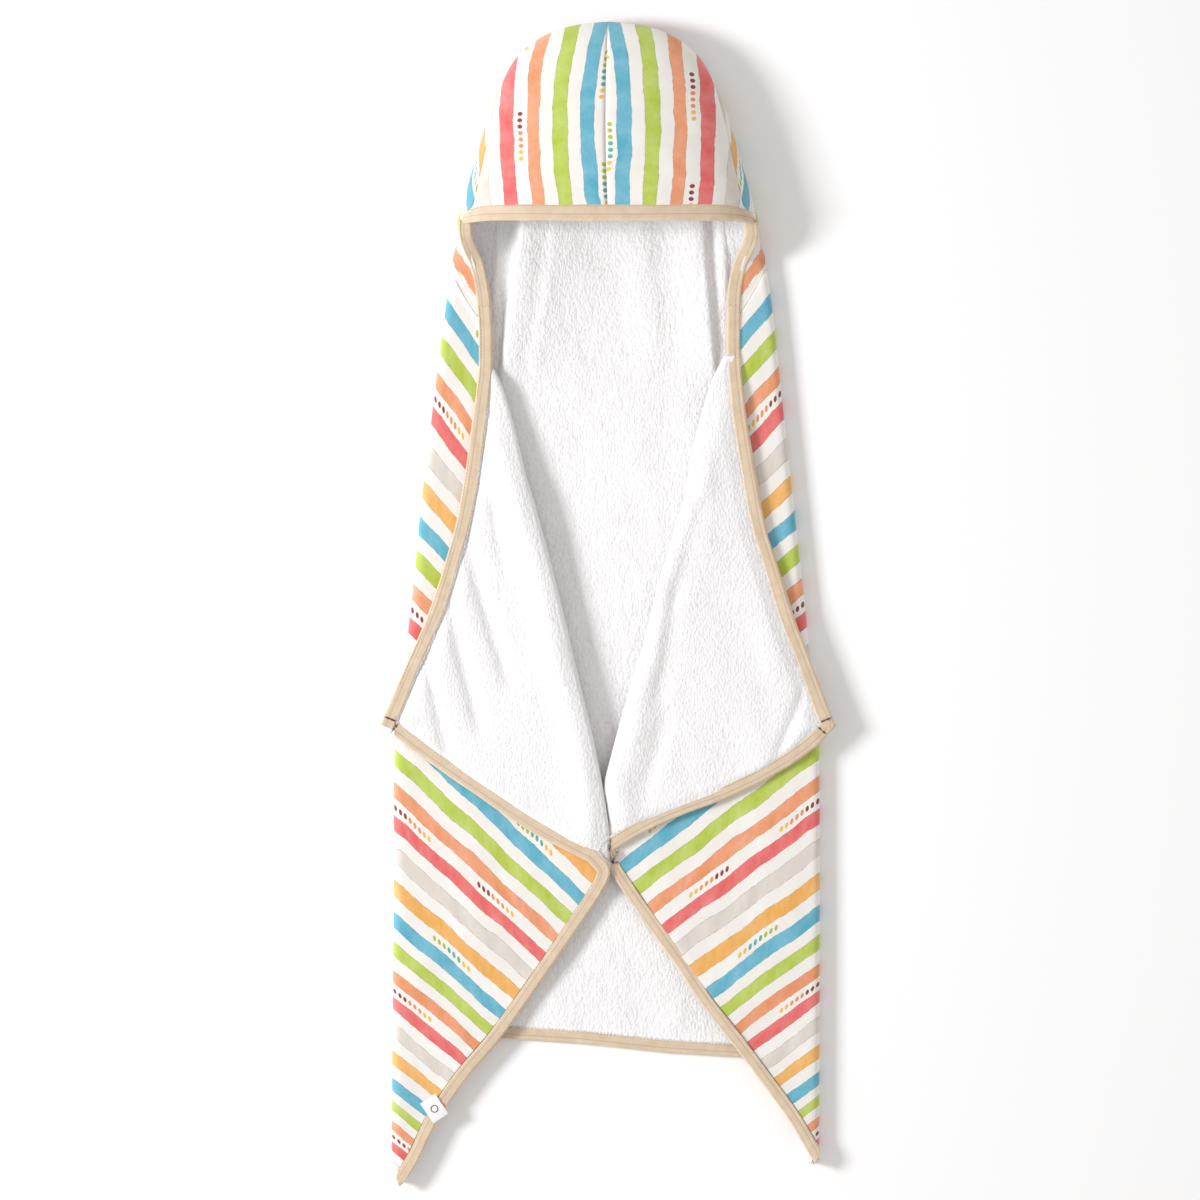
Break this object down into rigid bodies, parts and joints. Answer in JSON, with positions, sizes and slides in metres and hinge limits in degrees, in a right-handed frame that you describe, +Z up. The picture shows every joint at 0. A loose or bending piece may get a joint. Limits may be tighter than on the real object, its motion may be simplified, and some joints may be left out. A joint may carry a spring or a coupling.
{
  "type": "hooded baby towel",
  "caption": "Hooded baby towel laid flat, striped knit outside and terry inside, fronts folded in with lapels turned back.",
  "frame": {"origin": "on the surface it lies on, under the middle of the object's box", "axes": "+Y towards the hood, +Z up from the surface, +X to the viewer's right"},
  "size_m": [0.454, 1.162, 0.0823],
  "materials": {
    "printed_knit": "soft matte knit, printed with coloured stripes",
    "terry": "white looped terry pile",
    "binding": "beige rib-knit binding tape",
    "label": "woven satin label",
    "thread": "dark sewing thread"
  },
  "bodies": {
    "back": {"back_shell": "printed_knit", "back_lining": "terry", "hem_binding": "binding", "left_fold_shell": "printed_knit", "left_fold_lining": "terry", "left_neck_binding": "binding", "right_fold_shell": "printed_knit", "right_fold_lining": "terry", "right_neck_binding": "binding"},
    "hood": {"hood_front_shell_right": "printed_knit", "hood_front_lining_right": "terry", "hood_front_shell_left": "printed_knit", "hood_front_lining_left": "terry", "hood_back_shell": "printed_knit", "hood_back_lining": "terry", "brim_binding": "binding"},
    "left_flap": {"left_flap_shell": "printed_knit", "left_flap_lining": "terry", "left_flap_binding": "binding", "left_lapel_shell": "printed_knit", "left_lapel_lining": "terry", "left_lapel_top_binding": "binding", "left_lapel_side_binding": "binding", "left_corner_tack": "thread", "woven_label": "label"},
    "right_flap": {"right_flap_shell": "printed_knit", "right_flap_lining": "terry", "right_flap_binding": "binding", "right_lapel_shell": "printed_knit", "right_lapel_lining": "terry", "right_lapel_top_binding": "binding", "right_lapel_side_binding": "binding", "right_corner_tack": "thread"}
  },
  "joints": [
    {"name": "hood_lift", "type": "hinge", "parent": "back", "child": "hood", "pos_m": [0, 0.378, 0.003], "axis": [1, 0, 0], "range_deg": [0, 45]},
    {"name": "left_flap_open", "type": "hinge", "parent": "back", "child": "left_flap", "pos_m": [-0.229, -0.117, 0.009], "axis": [-0.04, -0.9992, 0], "range_deg": [0, 50]},
    {"name": "right_flap_open", "type": "hinge", "parent": "back", "child": "right_flap", "pos_m": [0.229, -0.117, 0.009], "axis": [-0.04, 0.9992, 0], "range_deg": [0, 50]}
  ]
}
